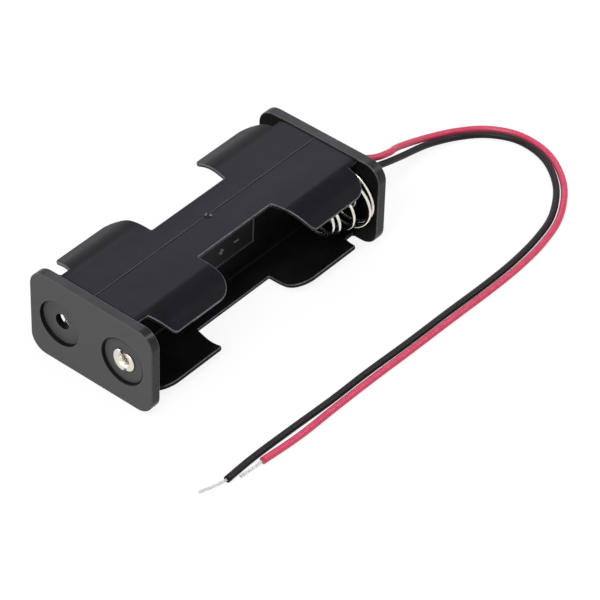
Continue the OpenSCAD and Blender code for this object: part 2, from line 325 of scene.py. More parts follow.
def painted_shade_plastic(name, gloss):
    """The same plastic in the bays, polished less, in a darker colour that paints the shade in the bays, recesses and
    corners and under the body.
    """
    material, shader = principled(name, (0.0042, 0.0041, 0.0048), 0.5, Specular_IOR_Level=gloss)
    tree = material.node_tree
    haze = noise(tree, 380, 4, 0.6)
    grain = noise(tree, 3600, 2, 0.6)
    tree.links.new(spread(tree, haze, 0.42, 0.6), shader.inputs["Roughness"])
    tree.links.new(
        two_colours(tree, spread(tree, haze, 0, 1), (0.0034, 0.0034, 0.004), (0.0056, 0.0054, 0.006)),
        shader.inputs["Base Color"],
    )
    bumped(tree, shader, [(grain, 0.000008)])
    return material


def plate_plastic():
    """The same plastic on the end plates' faces, with a fine matt grain."""
    material, shader = principled("plate_plastic", (0.044, 0.044, 0.043), 0.62, Specular_IOR_Level=0.35)
    tree = material.node_tree
    haze = noise(tree, 260, 4, 0.6)
    grain = noise(tree, 4200, 3, 0.7)
    tree.links.new(spread(tree, haze, 0.56, 0.68), shader.inputs["Roughness"])
    tree.links.new(
        two_colours(tree, spread(tree, haze, 0, 1), (0.041, 0.041, 0.041), (0.048, 0.048, 0.047)),
        shader.inputs["Base Color"],
    )
    bumped(tree, shader, [(grain, 0.000012)])
    return material


def rim_plastic():
    """Glossier plastic round the end plates' edges, where the tool was polished."""
    material, shader = principled("rim_plastic", (0.013, 0.013, 0.013), 0.3, Specular_IOR_Level=0.14)
    tree = material.node_tree
    flow = noise(tree, 240, 4, 0.65)
    grain = noise(tree, 3000, 2, 0.6)
    tree.links.new(spread(tree, flow, 0.15, 0.42), shader.inputs["Roughness"])
    tree.links.new(
        two_colours(tree, spread(tree, flow, 0, 1), (0.006, 0.006, 0.006), (0.02, 0.02, 0.02)),
        shader.inputs["Base Color"],
    )
    bumped(tree, shader, [(flow, 0.00006), (grain, 0.000006)])
    return material


def edge_highlight_plastic(name, dark, pale):
    """Paler plastic, which paints a highlight along moulded edges and on the lit side of the parting line; the raised
    signs are paler too.
    """
    material, shader = principled(name, pale, 0.34, Specular_IOR_Level=0.35)
    tree = material.node_tree
    patches = noise(tree, 600, 4, 0.65)
    tree.links.new(spread(tree, patches, 0.26, 0.44), shader.inputs["Roughness"])
    tree.links.new(two_colours(tree, spread(tree, patches, 0, 1), dark, pale), shader.inputs["Base Color"])
    bumped(tree, shader, [(patches, 0.00001)])
    return material


def panel_plastic():
    """Spark-eroded floor of the sunk panels."""
    material, shader = principled("panel_plastic", (0.010, 0.010, 0.009), 0.55, Specular_IOR_Level=0.13)
    tree = material.node_tree
    haze = noise(tree, 700, 4, 0.6)
    grain = noise(tree, 4800, 3, 0.7)
    tree.links.new(spread(tree, haze, 0.48, 0.64), shader.inputs["Roughness"])
    tree.links.new(
        two_colours(tree, spread(tree, haze, 0, 1), (0.0085, 0.0085, 0.0078), (0.012, 0.012, 0.011)),
        shader.inputs["Base Color"],
    )
    bumped(tree, shader, [(grain, 0.000012)])
    return material


def metal(name, colour, roughness, grain_scale=1500, depth=0.000004):
    material, shader = principled(name, colour, roughness, metallic=1.0)
    tree = material.node_tree
    haze = noise(tree, grain_scale, 3, 0.6)
    tree.links.new(spread(tree, haze, roughness * 0.7, roughness * 1.35), shader.inputs["Roughness"])
    bumped(tree, shader, [(haze, depth)])
    return material


def insulation(name, colour, darker, gloss=0.4):
    material, shader = principled(name, colour, 0.34, Specular_IOR_Level=gloss)
    tree = material.node_tree
    haze = noise(tree, 700, 3, 0.6)
    tree.links.new(two_colours(tree, spread(tree, haze, 0, 1), colour, darker), shader.inputs["Base Color"])
    tree.links.new(spread(tree, haze, 0.32, 0.46), shader.inputs["Roughness"])
    bumped(tree, shader, [(haze, 0.00001)])
    return material


# ---------------------------------------------------------------- mesh helpers

def made(name, verts, faces, material=None):
    """A mesh object from points in millimetres."""
    mesh = bpy.data.meshes.new(name)
    mesh.from_pydata([Vector(v) * MM for v in verts], [], faces)
    mesh.validate()
    obj = bpy.data.objects.new(name, mesh)
    bpy.context.scene.collection.objects.link(obj)
    if material:
        mesh.materials.append(material)
    return obj


def from_bmesh(name, bm, material=None):
    """A mesh object from a bmesh in millimetres."""
    bmesh.ops.recalc_face_normals(bm, faces=bm.faces)
    bmesh.ops.scale(bm, vec=(MM, MM, MM), verts=bm.verts)
    mesh = bpy.data.meshes.new(name)
    bm.to_mesh(mesh)
    bm.free()
    obj = bpy.data.objects.new(name, mesh)
    bpy.context.scene.collection.objects.link(obj)
    if material:
        mesh.materials.append(material)
    return obj


def outward(obj):
    bm = bmesh.new()
    bm.from_mesh(obj.data)
    bmesh.ops.recalc_face_normals(bm, faces=bm.faces)
    bm.to_mesh(obj.data)
    bm.free()
    return obj


def with_bevel(obj, width, segments, angle=35, slot=-1, clamp=True):
    """Adds a bevel modifier; slot is the material of the bevel's faces, or -1 for the neighbours' one."""
    bevel = obj.modifiers.new("bevel", "BEVEL")
    bevel.width = width * MM
    bevel.material = slot
    bevel.segments = segments
    bevel.limit_method = "ANGLE"
    bevel.angle_limit = math.radians(angle)
    bevel.miter_outer = "MITER_ARC"
    bevel.use_clamp_overlap = clamp
    return obj


def applied(obj, crisp=True):
    """Applies the modifiers and shades the mesh smoothly, with its flat faces kept flat."""
    for polygon in obj.data.polygons:
        polygon.use_smooth = True
    if crisp:
        weighted = obj.modifiers.new("normals", "WEIGHTED_NORMAL")
        weighted.keep_sharp = True
        weighted.weight = 60
    bpy.context.view_layer.update()
    graph = bpy.context.evaluated_depsgraph_get()
    mesh = bpy.data.meshes.new_from_object(obj.evaluated_get(graph), depsgraph=graph)
    obj.modifiers.clear()
    obj.data = mesh
    return obj


def joined(name, parts):
    """Joins objects into the first of them."""
    bpy.ops.object.select_all(action="DESELECT")
    for part in parts:
        part.select_set(True)
    bpy.context.view_layer.objects.active = parts[0]
    bpy.ops.object.join()
    parts[0].name = name
    return parts[0]


def on_body(obj, slot, *nodes, body=HOLDER):
    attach(obj, body)
    if nodes:
        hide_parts(*nodes)
    return obj


def ring(centre_x, centre_z, radius, y, count):
    """Points of a circle in the plane of one end plate."""
    angles = [2 * math.pi * i / count for i in range(count)]
    return [(centre_x + radius * math.cos(a), y, centre_z + radius * math.sin(a)) for a in angles]


def row_faces(rows, count):
    """Faces between rows of count points each, with every row closed to a ring."""
    faces = []
    for i in range(rows - 1):
        for j in range(count):
            k = (j + 1) % count
            faces.append((i * count + j, i * count + k, (i + 1) * count + k, (i + 1) * count + j))
    return faces


def lathe_y(profile, centre, count):
    """Turns a closed profile of (radius, y) pairs round a Y axis through centre."""
    verts = []
    for radius, y in profile:
        verts += ring(centre[0], centre[1], radius, y, count)
    total = len(verts)
    faces = [tuple(v % total for v in face) for face in row_faces(len(profile) + 1, count)]
    return verts, faces


def swept(line, radius, sides):
    """A round tube with flat ends along a line of points, without twisting."""
    points = [Vector(p) for p in line]
    last = len(points) - 1
    heading = [(points[min(i + 1, last)] - points[max(i - 1, 0)]).normalized() for i in range(last + 1)]
    side = heading[0].orthogonal().normalized()
    verts = []
    for i, point in enumerate(points):
        if i:
            side = heading[i - 1].rotation_difference(heading[i]) @ side
        side = (side - heading[i] * side.dot(heading[i])).normalized()
        other = heading[i].cross(side)
        for j in range(sides):
            a = 2 * math.pi * j / sides
            verts.append(point + (side * math.cos(a) + other * math.sin(a)) * radius)
    faces = row_faces(last + 1, sides)
    faces.append(tuple(range(sides))[::-1])
    faces.append(tuple(last * sides + j for j in range(sides)))
    return verts, faces


def smooth_line(route, steps):
    """A smooth line through the route's points."""
    points = [Vector(p) for p in route]
    last = len(points) - 1
    line = []
    for i in range(last):
        a, b, c, d = points[max(i - 1, 0)], points[i], points[i + 1], points[min(i + 2, last)]
        for s in range(steps):
            t = s / steps
            square, cube = 2 * a - 5 * b + 4 * c - d, 3 * b - a - 3 * c + d
            line.append(0.5 * (2 * b + (c - a) * t + square * t ** 2 + cube * t ** 3))
    line.append(points[-1])
    return line


# ---------------------------------------------------------------- leads

TAG_REACH = 3.369
START_X = CONTACT_X - TAG_REACH
ROOT_L = 2.6
TAG_FACE = in_mm("plus_tag")[1].y
START_Y = TAG_FACE + ROOT_L
RED_ROUTE = [
    (-START_X, START_Y, MID_Z),
    (-2.2, 36, 8.4),
    (0.6, 39.2, 7.6),
    (3, 41.8, 7.5),
    (4.3, 44.5, 7.8),
    (3.2, 48.6, 6.1),
    (2.8, 57.6, 2.7),
    (4.7, 65, 1),
    (8.6, 69.7, 0.7),
    (14.4, 72, 0.7),
    (21.7, 70.9, 0.7),
    (28.9, 65.7, 0.7),
    (33.9, 58, 0.7),
    (36.1, 50.3, 0.7),
    (37, 42, 0.7),
    (37.1, 33, 0.7),
    (36.8, 22.2, 0.7),
    (36.6, 11.5, 0.7),
    (36.3, 1.3, 0.7),
    (36.2, -8.8, 0.7),
    (36.2, -18.4, 0.7),
    (35.5, -27.2, 0.7),
]
BLACK_ROUTE = [
    (START_X, START_Y, MID_Z),
    (4.5, 37.4, 8),
    (4.7, 43.2, 6.4),
    (4.3, 48.2, 4.7),
    (3.9, 56.8, 2.2),
    (5.7, 63.8, 0.8),
    (9.5, 68.2, 0.7),
    (15, 70.5, 0.7),
    (21.7, 69.3, 0.7),
    (28.1, 64.4, 0.7),
    (32.6, 57.3, 0.7),
    (34.5, 50.3, 0.7),
    (35.4, 42, 0.7),
    (35.5, 33.3, 0.7),
    (35.2, 22.9, 0.7),
    (35, 12.3, 0.7),
    (34.6, 1.5, 0.7),
    (34.5, -8, 0.7),
    (34.1, -17.5, 0.7),
    (33.8, -27.6, 0.7),
    (34, -34.6, 0.7),
]
RED_TAIL = [(35.5, -27.2, 0.7), (35.3, -29.7, 0.5), (35, -32.3, 0.4)]
BLACK_TAIL = [(34, -34.6, 0.7), (33.3, -37, 0.5), (32.3, -39.7, 0.4)]


def strands(name, line, material, splay=0.0):
    """Seven tinned strands twisted round a centre one, which open a little towards the far end."""
    core = [Vector(p) for p in line]
    strand_r = CORE_D / 6
    last = len(core) - 1
    heading = [(core[min(i + 1, last)] - core[max(i - 1, 0)]).normalized() for i in range(last + 1)]
    travelled = 0.0
    lines = [[] for _ in range(7)]
    for i, point in enumerate(core):
        if i:
            travelled += (core[i] - core[i - 1]).length
        side = heading[i].cross(Vector((0, 0, 1))).normalized()
        other = side.cross(heading[i])
        lines[0].append(point)
        for k in range(6):
            a = math.pi / 3 * k + 2 * math.pi * travelled / 11
            open_by = 1 + splay * (i / last) ** 2 * (0.6 + 0.4 * math.sin(2.1 * k + 0.7))
            lines[k + 1].append(point + (side * math.cos(a) + other * math.sin(a)) * strand_r * 2 * open_by)
    parts = []
    for strand in lines:
        verts, faces = swept(strand, strand_r * 1.04, 8)
        parts.append(made(name, verts, faces, material))
    return outward(applied(joined(name, parts), crisp=False))


def lead(colour, route, material):
    """Insulation of one lead, a plain round tube, and its centre line."""
    line = smooth_line(route, 6)
    verts, faces = swept(line, LEAD_D / 2, 16)
    obj = outward(applied(made(f"{colour}_insulation", verts, faces, material)))
    on_body(obj, f"{colour}_insulation", f"{colour}_lead")
    return obj, line


def make_leads(materials):
    for colour, route, tail in (("red", RED_ROUTE, RED_TAIL), ("black", BLACK_ROUTE, BLACK_TAIL)):
        insulated, line = lead(colour, route, materials[colour])
        side = -1 if colour == "red" else 1
        root_line = [(side * START_X, TAG_FACE + 0.05 + ROOT_L * i / 8, MID_Z) for i in range(9)]
        root = strands(f"{colour}_root_strands", root_line, materials["strands"])
        on_body(root, "tinned_strands", f"{colour}_root")
        end = strands(f"{colour}_end_strands", smooth_line(tail, 8), materials["strands"], splay=0.2)
        on_body(end, "tinned_strands", f"{colour}_end")


# ---------------------------------------------------------------- moulding

def rounded_rectangle(width, height, radius, inset, y):
    """Outline of an end plate in the plane y, moved in by inset."""
    per_corner = 10
    points = []
    r = max(radius - inset, 0.01)
    for cx, cz, start in (
        (width / 2 - radius, height - radius, 0),
        (-width / 2 + radius, height - radius, 90),
        (-width / 2 + radius, radius, 180),
        (width / 2 - radius, radius, 270),
    ):
        for i in range(per_corner + 1):
            a = math.radians(start + 90 * i / per_corner)
            points.append((cx + r * math.cos(a), y, cz + r * math.sin(a)))
    return points


def loop_verts(bm, points):
    return [bm.verts.new(p) for p in points]


def bridge(bm, first, second, slot=0):
    for j in range(len(first)):
        k = (j + 1) % len(first)
        bm.faces.new((first[j], first[k], second[k], second[j])).material_index = slot


def fill(bm, loops, slot=0):
    """Fills the flat region between an outline and the holes in it."""
    edges = []
    for loop in loops:
        for j in range(len(loop)):
            pair = (loop[j], loop[(j + 1) % len(loop)])
            edges.append(bm.edges.get(pair) or bm.edges.new(pair))
    made_here = bmesh.ops.triangle_fill(bm, use_beauty=True, use_dissolve=False, edges=edges)
    for item in made_here["geom"]:
        if isinstance(item, bmesh.types.BMFace):
            item.material_index = slot


def rounding(radius, steps):
    """Pairs (inset, drop) along a quarter round from the face to the side."""
    return [
        (radius * (1 - math.sin(math.pi / 2 * i / steps)), radius * (1 - math.cos(math.pi / 2 * i / steps)))
        for i in range(steps + 1)
    ]


def make_plate(side, recesses, materials):
    """One end plate; side is the way its outer face looks along Y. Recesses: (x, depth, hole radius, lip)."""
    # The second slot is the darker plastic of painted shade, for recess and hole walls; the fourth is the paler
    # plastic that paints a highlight line round the inner rim; the fifth, on the inner face, is painted shade too.
    face, inside, rim, edge, wall = range(5)
    bm = bmesh.new()
    face_y, wall_y = side * FACE_Y, side * WALL_Y
    outer = [loop_verts(bm, rounded_rectangle(BODY_W, BODY_H, PLATE_R, inset, face_y - side * drop))
             for inset, drop in rounding(RIM_R, 4)]
    inner = [loop_verts(bm, rounded_rectangle(BODY_W, BODY_H, PLATE_R, inset, wall_y + side * drop))
             for inset, drop in reversed(rounding(RIM_R, 4))]
    rows = outer + inner
    for i, (first, second) in enumerate(zip(rows, rows[1:])):
        bridge(bm, first, second, face if i < 4 else rim if i == 4 else edge)
    face_holes, wall_holes = [], []
    count = 72
    for x, depth, hole_r, lip in recesses:
        soft = 0.07
        # A recess with a lip has its rounded rim in painted shade too, as a painted dark line round it.
        rows = [
            (RECESS_R + soft + lip, 0, inside if lip else face), (RECESS_R + 0.02, 0.02 + lip * 0.3, inside),
            (RECESS_R, soft + lip * 0.3, inside),
            (RECESS_R, depth - 0.08, inside), (RECESS_R - 0.02, depth - 0.02, inside), (RECESS_R - 0.08, depth, face),
            (hole_r + soft, depth, inside), (hole_r + 0.02, depth + 0.02, inside), (hole_r, depth + soft, inside),
            (hole_r, PLATE_T - 0.1, inside), (hole_r + 0.1, PLATE_T, inside),
        ]
        loops = [loop_verts(bm, ring(x, MID_Z, r, face_y - side * d, count)) for r, d, _ in rows]
        for first, second, row in zip(loops, loops[1:], rows):
            bridge(bm, first, second, row[2])
        face_holes.append(loops[0])
        wall_holes.append(loops[-1])
    fill(bm, [outer[0]] + face_holes, face)
    fill(bm, [inner[-1]] + wall_holes, wall)
    obj = from_bmesh("plate", bm)
    for name in ("plate", "inside", "rim", "line", "wall"):
        obj.data.materials.append(materials[name])
    return applied(obj)


def height_at(x):
    """Height of the top flange's outer surface, x from the middle."""
    run = abs(x) - BEND_X
    if run <= 0:
        return FLANGE_Z
    end = BEND_R * math.sin(BEND_ANGLE)
    if run <= end:
        return FLANGE_Z - BEND_R + math.sqrt(BEND_R ** 2 - run ** 2)
    return FLANGE_Z - BEND_R * (1 - math.cos(BEND_ANGLE)) - (run - end) * math.tan(BEND_ANGLE)


def arc_points(x, y, radius, start, end, steps):
    angles = [math.radians(start + (end - start) * i / steps) for i in range(steps + 1)]
    return [(x + radius * math.cos(a), y + radius * math.sin(a)) for a in angles]


def wing_outline(x0, y0, y1, reach):
    """Tip side of one wing, from its sharp side at y0 to its round side at y1."""
    slant = math.atan(WING_SLANT / (reach - x0))
    tip_x = reach - WING_CORNER
    tip_y = y0 + (tip_x - x0) * math.tan(slant) + WING_CORNER / math.cos(slant)
    points = [(x0, y0)]
    points += arc_points(tip_x, tip_y, WING_CORNER, math.degrees(slant) - 90, 0, 8)
    points += arc_points(reach - WING_ROUND, y1 - WING_ROUND, WING_ROUND, 0, 90, 14)
    return points


def flange_outline(reach):
    """Plan of the top flange's right half, from the front plate to the back one."""
    bury = 0.4
    points = [(ROOT_X, -WALL_Y - bury)]
    points += wing_outline(ROOT_X, -WING_Y, -FINGER_Y, reach)
    points.append((WAIST_X, -FINGER_Y))
    points += wing_outline(WAIST_X, FINGER_Y, WING_Y, reach)
    points += [(ROOT_X, WING_Y), (ROOT_X, WALL_Y + bury)]
    return points


def make_flange(upside, materials):
    """Top flange, or the bottom one, which is the same turned half round X."""
    half = flange_outline(UPPER_REACH if upside else LOWER_REACH)
    outline = half + [(-x, y) for x, y in reversed(half)]
    bm = bmesh.new()
    bm.faces.new([bm.verts.new((x, y, 0)) for x, y in outline])
    bends = 8
    cuts = [BEND_X + BEND_R * math.sin(BEND_ANGLE * i / bends) for i in range(bends + 1)]
    for x in cuts + [-c for c in cuts]:
        geometry = bm.verts[:] + bm.edges[:] + bm.faces[:]
        bmesh.ops.bisect_plane(bm, geom=geometry, plane_co=(x, 0, 0), plane_no=(1, 0, 0), dist=1e-5)
    bmesh.ops.remove_doubles(bm, verts=bm.verts, dist=0.09)
    for v in bm.verts:
        v.co.z = height_at(v.co.x)
    if not upside:
        for v in bm.verts:
            v.co.y, v.co.z = -v.co.y, BODY_H - v.co.z
    obj = from_bmesh("flange", bm)
    # The bottom flange's downward outer face and both flanges' undersides take the darker plastic as painted shade;
    # the bevels take the paler plastic as a painted highlight along the edges.
    for name in ("plastic" if upside else "inside", "inside", "edge"):
        obj.data.materials.append(materials[name])
    up = sum(p.normal.z * p.area for p in obj.data.polygons) > 0
    if up != upside:
        obj.data.flip_normals()
    solid = obj.modifiers.new("solid", "SOLIDIFY")
    solid.thickness = FLANGE_T * MM
    solid.offset = -1
    solid.use_even_offset = True
    solid.material_offset = 1
    return applied(with_bevel(obj, EDGE_R, 3, slot=2, clamp=False))


def make_web(materials):
    """The wall between the cells, with a sunk panel on each face."""
    bm = bmesh.new()
    low_z, high_z = 0.6, BODY_H - 0.6
    half_l = WALL_Y + 0.3

    def rectangle(x, half_y, z0, z1):
        return loop_verts(bm, [(x, -half_y, z0), (x, half_y, z0), (x, half_y, z1), (x, -half_y, z1)])

    edges = []
    for s in (-1, 1):
        x = s * WEB_T / 2
        outer = rectangle(x, half_l, low_z, high_z)
        lip = rectangle(x, PANEL_L / 2, MID_Z - PANEL_H / 2, MID_Z + PANEL_H / 2)
        sunk = rectangle(
            x - s * PANEL_DEPTH, PANEL_L / 2 - 0.15, MID_Z - PANEL_H / 2 + 0.15, MID_Z + PANEL_H / 2 - 0.15
        )
        bridge(bm, outer, lip)
        bridge(bm, lip, sunk, 2)
        bm.faces.new(sunk).material_index = 1
        edges.append(outer)
    bridge(bm, edges[0], edges[1])
    obj = from_bmesh("web", bm)
    # The web takes the darker plastic as painted shade, and the panel's step the paler plastic as a painted highlight
    # line.
    for name in ("inside", "panel", "line"):
        obj.data.materials.append(materials[name])
    return applied(with_bevel(obj, 0.08, 2, 25))


def make_corner(start, end, first, second, radius, material):
    """Concave fillet along an inner corner; first and second point away from the corner along its walls."""
    steps = 6
    first, second = Vector(first), Vector(second)
    profile = [Vector((0, 0, 0)) - (first + second) * 0.05]
    for i in range(steps + 1):
        a = math.pi / 2 * i / steps
        profile.append(first * radius * (1 - math.sin(a)) + second * radius * (1 - math.cos(a)))
    verts = [Vector(start) + p for p in profile] + [Vector(end) + p for p in profile]
    n = len(profile)
    faces = [(j, (j + 1) % n, n + (j + 1) % n, n + j) for j in range(n)]
    faces += [tuple(range(n))[::-1], tuple(range(n, 2 * n))]
    return applied(outward(made("corner", verts, faces, material)))


def make_corners(material):
    """Fillets where the web meets the flanges and the plates."""
    parts = []
    top, bottom = FLANGE_Z - FLANGE_T, BODY_H - FLANGE_Z + FLANGE_T
    for sx in (-1, 1):
        x = sx * WEB_T / 2
        for z, dz in ((top, -1), (bottom, 1)):
            parts.append(make_corner((x, -WALL_Y, z), (x, WALL_Y, z), (sx, 0, 0), (0, 0, dz), 0.5, material))
            for sy in (-1, 1):
                y = sy * WALL_Y
                ends = ((x, y, z), (sx * ROOT_X, y, z))
                parts.append(make_corner(*ends, (0, -sy, 0), (0, 0, dz), 0.4, material))
        for sy in (-1, 1):
            y = sy * WALL_Y
            parts.append(make_corner((x, y, bottom), (x, y, top), (sx, 0, 0), (0, -sy, 0), 0.4, material))
    for z, dz in ((FLANGE_Z, 1), (BODY_H - FLANGE_Z, -1)):
        for sy in (-1, 1):
            y = sy * WALL_Y
            ends = ((-ROOT_X, y, z), (ROOT_X, y, z))
            parts.append(make_corner(*ends, (0, -sy * 1.6, 0), (0, 0, dz), 0.17, material))
    return parts


SEAM_X = -WEB_T / 2 - 0.1


def make_seam(materials):
    """Fine ridge that the mould's halves leave along the top flange, with a painted highlight on its left side and
    painted shade on its right side.
    """
    ys = [WALL_Y * (i / 30 - 1) for i in range(61)]
    verts, faces, slots = [], [], []
    profile = [(-0.24, -0.05), (-0.13, 0.07), (0.0, 0.1), (0.08, 0.06), (0.2, -0.05)]
    for i, y in enumerate(ys):
        wander = 0.02 * math.sin(0.21 * y) + 0.01 * math.sin(0.83 * y)
        swell = 1 + 0.12 * math.sin(0.55 * y) + 0.08 * math.sin(1.7 * y)
        for dx, dz in profile:
            verts.append((SEAM_X + wander + dx * swell, y, FLANGE_Z + dz * (swell if dz > 0 else 1)))
    n = len(profile)
    for i in range(len(ys) - 1):
        for j in range(n - 1):
            faces.append((i * n + j, i * n + j + 1, (i + 1) * n + j + 1, (i + 1) * n + j))
            # Left faces take the paler plastic as a painted highlight, right faces the darker plastic as painted
            # shade.
            slots.append(0 if j < 2 else 1)
    obj = made("seam", verts, faces)
    for name in ("seam", "inside"):
        obj.data.materials.append(materials[name])
    obj.data.polygons.foreach_set("material_index", slots)
    return applied(obj, crisp=False)


def make_gate(materials):
    """Broken-off gate: a low round pip with a dimple, and painted highlights on parts of its rim."""
    rows = [(0.02, 0.0), (0.2, 0.02), (0.34, 0.13), (0.5, 0.19), (0.68, 0.14), (0.82, 0.03), (0.9, -0.05)]
    verts = []
    count = 28
    for radius, z in rows:
        for j in range(count):
            a = 2 * math.pi * j / count
            r = radius * (1 + 0.1 * math.sin(3 * a + 0.5))
            verts.append((SEAM_X + 0.1 + r * math.cos(a), -0.15 + r * math.sin(a), FLANGE_Z + z))
    faces = row_faces(len(rows), count) + [tuple(range(count))]
    # Faces in these rows and sectors take the paler plastic as a painted highlight.
    highlit = [1 <= i <= 3 and (j < 6 or 11 < j < 19) for i in range(len(rows) - 1) for j in range(count)]
    slots = [0 if part else 1 for part in highlit] + [1]
    obj = made("gate", verts, faces)
    for name in ("edge", "plastic"):
        obj.data.materials.append(materials[name])
    obj.data.polygons.foreach_set("material_index", slots)
    return applied(outward(obj), crisp=False)


def make_signs(material):
    """Raised plus and minus signs on the sunk panels, the plus sign nearer each bay's fixed contact."""
    parts = []
    thick, half_l, half_w = 0.2, 0.62, 0.2
    for s in (-1, 1):
        x = s * (WEB_T / 2 - PANEL_DEPTH)
        for y, crossed in ((s * 2.1, True), (s * 6.2, False)):
            boxes = [(half_l, half_w)] + ([(half_w, half_l)] if crossed else [])
            for half_y, half_z in boxes:
                bm = bmesh.new()
                bmesh.ops.create_cube(bm, size=1)
                for v in bm.verts:
                    v.co = Vector((x + s * 0.05 + v.co.x * 2 * thick, y + v.co.y * 2 * half_y,
                                   MID_Z - 0.3 + v.co.z * 2 * half_z))
                parts.append(applied(with_bevel(from_bmesh("sign", bm, material), 0.07, 2)))
    return parts


def make_moulding(materials):
    hole_r = RIVET_R + RIVET_CLEAR
    front = [(-CONTACT_X, OPEN_RECESS, SIGHT_R, 0), (CONTACT_X, RIVET_RECESS, hole_r, RIVET_LIP)]
    back = [(-CONTACT_X, TAG_RECESS, hole_r, 0), (CONTACT_X, TAG_RECESS, hole_r, 0)]
    parts = [
        make_plate(-1, front, materials),
        make_plate(1, back, materials),
        make_flange(True, materials),
        make_flange(False, materials),
        make_web(materials),
        make_seam(materials),
        make_gate(materials),
    ]
    # The fillets take the darker plastic as painted shade in the corners.
    parts += make_corners(materials["inside"])
    parts += make_signs(materials["sign"])
    on_body(joined("moulding", parts), "black_plastic", "body")


# ---------------------------------------------------------------- contacts

def make_rivet(name, place_y, grip, into, x, material, nodes):
    """Tubular rivet along Y: a domed head on the contact, and a rolled end split into two petals.

    into is the way from the spread end to the head along Y."""
    count = 96
    tail = -grip - HEAD_T
    profile = [
        (RIVET_BORE + 0.25, HEAD_T), (HEAD_R - 0.2, HEAD_T * 0.95), (HEAD_R - 0.05, HEAD_T * 0.6), (HEAD_R, 0.1),
        (HEAD_R - 0.03, 0.0), (RIVET_R, 0.0), (RIVET_R, -grip), (HEAD_R - 0.15, -grip - 0.02),
        (HEAD_R, -grip - 0.12), (HEAD_R - 0.06, tail + 0.08), (HEAD_R - 0.25, tail),
        (RIVET_R + 0.5, tail - 0.03), (RIVET_R + 0.15, tail + 0.02), (RIVET_BORE + 0.42, tail + 0.12),
        (RIVET_BORE + 0.25, tail + 0.35), (RIVET_BORE + 0.1, tail + 0.8), (RIVET_BORE, tail + 1.3),
        (RIVET_BORE, HEAD_T - 0.3), (RIVET_BORE + 0.07, HEAD_T - 0.08),
    ]
    gaps = ((88, 19, RIVET_BORE + 0.12), (-72, 9, RIVET_R + 0.1))

    def away(degrees, gap):
        return abs((degrees - gap + 180) % 360 - 180)

    verts, faces = lathe_y([(r, place_y + into * y) for r, y in profile], (x, MID_Z), count)
    shaped = []
    for vx, vy, vz in verts:
        out = Vector((vx - x, vz - MID_Z))
        share = max(0.0, min(1.0, (out.length - RIVET_R) / (HEAD_R - RIVET_R)))
        if (vy - place_y) * into < -grip + 0.001 and share > 0:
            degrees = math.degrees(math.atan2(out.y, out.x))
            for gap, half, _ in gaps:
                out *= 1 - 0.16 * share * math.exp(-(away(degrees, gap) / (half + 13)) ** 2)
            out *= 1 + 0.02 * share * math.sin(3 * math.radians(degrees) + 1)
        shaped.append((x + out.x, vy, MID_Z + out.y))
    kept = []
    for face in faces:
        middle = sum((Vector(shaped[i]) for i in face), Vector()) / len(face)
        out = Vector((middle.x - x, middle.z - MID_Z))
        degrees = math.degrees(math.atan2(out.y, out.x))
        in_end = (middle.y - place_y) * into < -grip + 0.01
        split = any(out.length > low and away(degrees, gap) < half for gap, half, low in gaps)
        if not (in_end and split):
            kept.append(face)
    obj = outward(made(name, shaped, kept, material))
    solid = obj.modifiers.new("solid", "SOLIDIFY")
    solid.thickness = 0.02 * MM
    solid.offset = -1
    applied(obj, crisp=False)
    return on_body(obj, "nickel_rivet", *nodes)


def make_tag(name, side, material):
    """Ring and tab of tinned sheet with softened edges."""
    half_w = TAG_W / 2
    reach = math.sqrt((RECESS_R - TAG_GAP) ** 2 - half_w ** 2)
    low, high = in_mm(name)
    outline = []
    radius = HEAD_R + TAG_MARGIN
    start = math.asin(half_w / radius)
    steps = 40
    for i in range(steps + 1):
        a = start + (2 * math.pi - 2 * start) * i / steps
        outline.append((radius * math.cos(a), radius * math.sin(a)))
    outline += [(reach, -half_w), (reach, half_w)]
    bm = bmesh.new()
    loops = []
    for y in (low.y, high.y):
        loops.append(loop_verts(bm, [(side * (CONTACT_X - px), y, MID_Z + pz) for px, pz in outline]))
    holes = [loop_verts(bm, ring(side * CONTACT_X, MID_Z, RIVET_R + RIVET_CLEAR, y, 40)) for y in (low.y, high.y)]
    bridge(bm, loops[0], loops[1])
    bridge(bm, holes[0], holes[1])
    fill(bm, [loops[0], holes[0]])
    fill(bm, [loops[1], holes[1]])
    obj = applied(with_bevel(from_bmesh(name + "_sheet", bm, material), 0.06, 2))
    return on_body(obj, "tinned_tag", name)


def make_solder(name, side, material):
    """A slightly uneven dome of solder that runs up the strands."""
    low, high = in_mm(name)
    radius = (high.z - low.z) / 2
    rise = high.y - low.y
    rows = [
        (1.0, 0.0), (0.98, 0.18), (0.86, 0.42), (0.68, 0.66), (0.52, 0.84), (0.42, 0.97), (0.36, 1.0), (0.05, 1.0),
    ]
    count = 32
    verts = []
    for share, up in rows:
        for j in range(count):
            a = 2 * math.pi * j / count
            r = radius * share * (1 - 0.05 * (1 + math.sin(2 * a + side)))
            verts.append((side * START_X + r * math.cos(a), low.y + rise * up, MID_Z + r * math.sin(a)))
    faces = row_faces(len(rows), count)
    faces.append(tuple(range(count)))
    faces.append(tuple((len(rows) - 1) * count + j for j in range(count)))
    obj = applied(outward(made(name + "_dome", verts, faces, material)), crisp=False)
    return on_body(obj, "solder", name)


def make_tags(materials):
    for name, side in (("plus", -1), ("minus", 1)):
        make_tag(f"{name}_tag", side, materials["tag"])
        make_solder(f"{name}_solder", side, materials["solder"])


